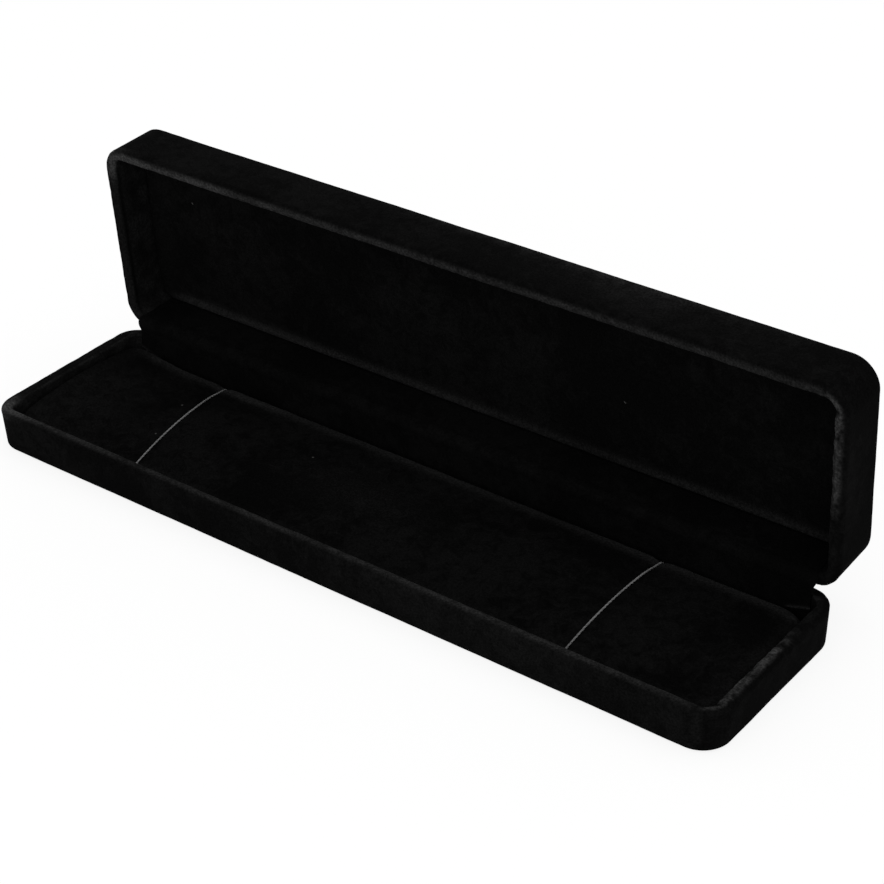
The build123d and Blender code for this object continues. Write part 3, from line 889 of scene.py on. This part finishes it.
def roundedLoop(corners, radii, step):  # closed line through corners in a plane, each rounded by its radius
    points = []
    count = len(corners)
    for i in range(count):
        before = np.array(corners[i - 1])
        here = np.array(corners[i])
        after = np.array(corners[(i + 1) % count])
        if radii[i] == 0:
            points.append(here)
            continue
        toBefore = (before - here) / np.linalg.norm(before - here)
        toAfter = (after - here) / np.linalg.norm(after - here)
        halfAngle = np.arccos(np.clip(toBefore @ toAfter, -1, 1)) / 2
        reach = radii[i] / np.tan(halfAngle)
        inwards = (toBefore + toAfter) / np.linalg.norm(toBefore + toAfter)
        middle = here + inwards * radii[i] / np.sin(halfAngle)
        start = here + toBefore * reach - middle
        end = here + toAfter * reach - middle
        startAngle, sweep = turnBetween(start, end)
        for t in np.linspace(0, 1, thread["turnPoints"]):
            angle = startAngle + sweep * t
            points.append(middle + radii[i] * np.array([cos(angle), sin(angle)]))
    points = np.array(points)
    closed = np.vstack([points, points[:1]])
    lengths = np.concatenate([[0], np.cumsum(np.linalg.norm(np.diff(closed, axis=0), axis=1))])
    places = np.linspace(0, lengths[-1], round(lengths[-1] / step), endpoint=False)
    return np.column_stack([np.interp(places, lengths, closed[:, k]) for k in (0, 1)]), places


def threadRoute(lean):  # closed line in the thread's own leaning plane
    stretch = 1 / cos(radians(lean))
    halfWidth = padSizes["halfWidth"] * stretch
    radius = archRadius(halfWidth, padSizes["crown"] - padSizes["side"]) + thread["standoff"]
    reach = halfWidth + thread["standoff"] * stretch
    back = reach - thread["sink"]
    middle = padSizes["crown"] + thread["standoff"] - radius
    low = case["velvet"] / 2
    turn = padSizes["shoulder"] + thread["standoff"]
    clear = thread["topShare"] * turn
    top = np.linspace(-reach + clear, back - clear, thread["topPoints"])
    span = np.concatenate([[-reach], top, [back]])
    sinkStart, sinkEnd = thread["sinkFrom"]
    sunk = thread["sink"] * ease(span, back - sinkStart, back - sinkEnd)
    over = list(zip(span, middle + np.sqrt(radius ** 2 - span ** 2) - sunk))
    corners = over + [(back, low), (-reach, low)]
    radii = [turn] + [0] * (len(over) - 2) + [turn, thread["turn"], thread["turn"]]
    return roundedLoop(corners, radii, thread["step"])


def elasticThread(name, place, lean, replaced):
    route, places = threadRoute(lean)
    forward = np.roll(route, -1, axis=0) - np.roll(route, 1, axis=0)
    forward /= np.linalg.norm(forward, axis=1)[:, None]
    outward = np.column_stack([forward[:, 1], -forward[:, 0]])
    turns = np.linspace(0, 2 * pi, thread["sides"], endpoint=False)
    wraps = round((places[-1] + thread["step"]) / thread["pitch"])
    rings = []
    for i, (y, z) in enumerate(route):
        twist = 2 * pi * wraps * i / len(route)
        radius = thread["diameter"] / 2 + thread["rib"] * (np.cos(thread["plies"] * turns - twist) - 1)
        aside = radius * np.cos(turns)
        along = y + outward[i, 0] * radius * np.sin(turns)
        rings.append(np.column_stack([
            place + aside * cos(radians(lean)) - along * sin(radians(lean)),
            aside * sin(radians(lean)) + along * cos(radians(lean)),
            padSizes["foot"] + z + outward[i, 1] * radius * np.sin(turns),
        ]))
    piece = meshFromRings(name, rings, closedSection=True)
    finishPiece(piece, elasticFinish, "base")
    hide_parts(replaced)
    return piece


threadLeft = elasticThread("threadLeft", *padSizes["threads"][0], "strap_left")
threadRight = elasticThread("threadRight", *padSizes["threads"][1], "strap_right")
print("threads done", len(threadLeft.data.polygons), len(threadRight.data.polygons))


# One strip of velvet over the hinge, glued to both walls and free between them

strip = {
    "halfLength": 103.8,
    "thickness": 0.5,
    "face": 23.66,        # its face on the base's rear wall, shut or open
    "low": 2.3,
    "lowerEnd": 12.9,     # where it leaves the base's wall
    "upperStart": 13.4,   # where it meets the lid's wall, shut
    "high": 25.0,
    "bow": 0.35,          # how far the free stretch stands off a plain arc
    "stationStep": 0.8,
    "lowerRows": 36,
    "freeRows": 11,
    "upperRows": 19,
    "waver": 0.05,
    "ripple": 8.0,        # mm, longer along the strip
    "fineRipple": 2.2,
    "fineShare": 0.5,
    "creaseFrom": 96.5,   # a crease climbs to each end from here
    "creaseStart": 2.5,   # mm over which it deepens
    "creaseFoot": 5.1,
    "creaseSlope": 0.31,
    "creaseHeight": 0.30,
    "creaseWidth": 0.35,
    "creaseBack": 24.3,   # on the base's side only
    "flare": 1.1,         # the free stretch is that much longer at each end
    "flareFrom": 98,
    "flareRows": 5.0,
}


def stripPath(depth):  # across the strip, from the base's wall to the lid's, depth mm behind its face
    y = strip["face"] + depth
    lower = [(y, z) for z in np.linspace(strip["low"], strip["lowerEnd"], strip["lowerRows"])]
    heights = np.linspace(strip["upperStart"], strip["high"], strip["upperRows"])
    upper = [(p[1], p[2]) for p in placeOpen(np.array([(0, y, z) for z in heights]))]
    start = np.array(lower[-1]) - (pinY, pinZ)
    end = np.array(upper[0]) - (pinY, pinZ)
    startAngle, sweep = turnBetween(start, end)
    free = []
    for t in np.linspace(0, 1, strip["freeRows"] + 2)[1:-1]:
        radius = hypot(*start) * (1 - t) + hypot(*end) * t + strip["bow"] * sin(pi * t)
        angle = startAngle + sweep * t
        free.append((pinY + radius * cos(angle), pinZ + radius * sin(angle)))
    return np.array(lower + free + upper)


def closeEnds(piece, stationCount, rowCount):  # the first and the last station, from the face to the back
    loopSize = 2 * rowCount
    body = bmesh.new()
    body.from_mesh(piece.data)
    body.verts.ensure_lookup_table()
    for first in (0, (stationCount - 1) * loopSize):
        for k in range(rowCount - 1):
            quad = [first + k, first + k + 1, first + loopSize - 2 - k, first + loopSize - 1 - k]
            body.faces.new([body.verts[i] for i in quad])
    bmesh.ops.recalc_face_normals(body, faces=body.faces)
    body.to_mesh(piece.data)
    body.free()


def shapeStrip(piece, stationCount, rowCount):  # it wavers, creases near its ends and flares where free
    points = readVertices(piece, "co")
    onFace = np.tile(np.concatenate([np.ones(rowCount), np.zeros(rowCount)]), stationCount)
    ripples = unevenness(points * (0.4, 1, 1), strip["ripple"], 21)
    ripples += strip["fineShare"] * unevenness(points, strip["fineRipple"], 22)
    fromMiddle = np.abs(points[:, 0])
    pastCrease = fromMiddle - strip["creaseFrom"]
    fromCrease = points[:, 2] - strip["creaseFoot"] - strip["creaseSlope"] * pastCrease
    crease = onFace * ease(pastCrease, 0, strip["creaseStart"])
    crease *= around(fromCrease, 0, strip["creaseWidth"]) * (points[:, 1] < strip["creaseBack"])
    move = strip["waver"] * onFace * ripples + strip["creaseHeight"] * crease
    moved = points + readVertices(piece, "normal") * move[:, None]
    rows = np.tile(np.concatenate([np.arange(rowCount), np.arange(rowCount)[::-1]]), stationCount)
    middleRow = strip["lowerRows"] + strip["freeRows"] / 2 - 1
    flare = around(rows, middleRow, strip["flareRows"])
    flare *= ease(fromMiddle, strip["flareFrom"], strip["halfLength"])
    moved[:, 0] += np.sign(points[:, 0]) * strip["flare"] * flare
    setPoints(piece, moved)
    # painted highlight: the crease's ridge is paler where it catches the light
    setMark(piece, "paintedSheen", crease)


facePath = stripPath(0.0)
backPath = stripPath(strip["thickness"])
stations = np.linspace(-strip["halfLength"], strip["halfLength"],
                       round(2 * strip["halfLength"] / strip["stationStep"]) + 1)
stripLoop = np.vstack([facePath, backPath[::-1]])
stripRings = [np.column_stack([np.full(len(stripLoop), x), stripLoop]) for x in stations]
hingeStrip = meshFromRings("hingeStrip", stripRings, closedSection=False)
closeEnds(hingeStrip, len(stations), len(facePath))
shapeStrip(hingeStrip, len(stations), len(facePath))
finishPiece(hingeStrip, stripVelvetFinish, None)
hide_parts("hinge_strip_lower", "hinge_strip_upper")
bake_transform(hingeStrip)


# Pieces whose own shapes stay get their finishes

finishes = {
    "base_shell": shellFinish,
    "lid_shell": shellFinish,
    "underside_panel": panelFinish,
    "pad_board": boardFinish,
    "lid_pad_board": boardFinish,
    "pad_foam": foamFinish,
    "lid_pad_wadding": foamFinish,
    "hinge_leaf_base": hingeFinish,
    "hinge_leaf_lid": hingeFinish,
    "hinge_pin": hingeFinish,
    "snap_springs": springFinish,
    "base_hinge_rivets": rivetFinish,
    "lid_hinge_rivets": rivetFinish,
}
for nodeName, finish in finishes.items():
    node = frame["nodes"][nodeName]
    node.data.materials.clear()
    node.data.materials.append(finish)
print("finishes set")


# Floor, light and camera

studio = {
    "white": (1, 1, 1, 1),
    "floorSize": 6.0,
    "floorColour": "#F2F2F2",
    "floorGlow": 0.80,      # share of the floor that is plain white to the camera
    "glowStrength": 1.06,
    "worldStrength": 0.75,
    "keyStrength": 2.0,
    "keySize": 0.9,
    "keyPlace": (0.2, -0.05, 1.15),
    "fillStrength": 1.6,
    "fillSize": 1.2,
    "fillPlace": (0.85, -0.9, 0.6),
}


def seenPlainly(tree):  # 1 for rays to the camera, straight, mirrored or through glass
    rays = addNode(tree, "LightPath", {})
    direct = addNode(tree, "Math", {
        0: rays.outputs["Is Camera Ray"], 1: rays.outputs["Is Glossy Ray"]}, operation="MAXIMUM")
    either = addNode(tree, "Math", {
        0: direct.outputs[0], 1: rays.outputs["Is Transmission Ray"]}, operation="MAXIMUM")
    return either.outputs[0]


floorMesh = bpy.data.meshes.new("floor")
floorHalf = studio["floorSize"] / 2
floorCorners = [(x * floorHalf, y * floorHalf, 0) for x, y in ((-1, -1), (1, -1), (1, 1), (-1, 1))]
floorMesh.from_pydata(floorCorners, [], [(0, 1, 2, 3)])
floor = addObject("floor", floorMesh)
floorFinish, floorTree = newMaterial("palePaper")
glowShare = addNode(floorTree, "Math", {0: seenPlainly(floorTree), 1: studio["floorGlow"]},
                    operation="MULTIPLY")
paper = addNode(floorTree, "BsdfDiffuse", {"Color": toLinear(studio["floorColour"])})
glow = addNode(floorTree, "Emission", {
    "Color": studio["white"], "Strength": studio["glowStrength"]})
floorMix = addNode(floorTree, "MixShader", {
    0: glowShare.outputs[0], 1: paper.outputs[0], 2: glow.outputs[0]})
addNode(floorTree, "OutputMaterial", {"Surface": floorMix.outputs[0]})
floorMesh.materials.append(floorFinish)

world = bpy.data.worlds.new("studioWhite")
world.use_nodes = True
worldTree = world.node_tree
worldTree.nodes.clear()
softLight = addNode(worldTree, "Background", {
    "Color": studio["white"], "Strength": studio["worldStrength"]})
backdrop = addNode(worldTree, "Background", {"Color": studio["white"], "Strength": 1.0})
worldMix = addNode(worldTree, "MixShader", {
    0: seenPlainly(worldTree), 1: softLight.outputs[0], 2: backdrop.outputs[0]})
addNode(worldTree, "OutputWorld", {"Surface": worldMix.outputs[0]})
bpy.context.scene.world = world

for lampName in ("key", "fill"):
    lamp = bpy.data.lights.new(lampName, "AREA")
    lamp.shape = "SQUARE"
    lamp.size = studio[lampName + "Size"]
    lamp.energy = studio[lampName + "Strength"]
    lampObject = addObject(lampName, lamp)
    lampObject.location = studio[lampName + "Place"]
    lampObject.rotation_mode = "QUATERNION"
    lampObject.rotation_quaternion = (-Vector(studio[lampName + "Place"])).to_track_quat("-Z", "Y")

view = {
    "eye": (292.248, -346.651, 312.397),
    "target": (9.568, 10.926, 24.171),
    "roll": -1.767,    # degrees
    "lens": 91.5,
    "sensor": 36,
    "nearest": 0.01,   # m, nothing closer is drawn
}
cameraData = bpy.data.cameras.new("photographView")
cameraData.sensor_width = view["sensor"]
cameraData.lens = view["lens"]
cameraData.clip_start = view["nearest"]
camera = addObject("photographView", cameraData)
eye = Vector(view["eye"]) * mm
camera.location = eye
camera.rotation_mode = "QUATERNION"
aim = (Vector(view["target"]) * mm - eye).to_track_quat("-Z", "Y")
camera.rotation_quaternion = aim @ Quaternion((0, 0, 1), radians(view["roll"]))
bpy.context.scene.camera = camera
bpy.context.scene.view_settings.view_transform = "Standard"
print("stage, lamps and camera ready")
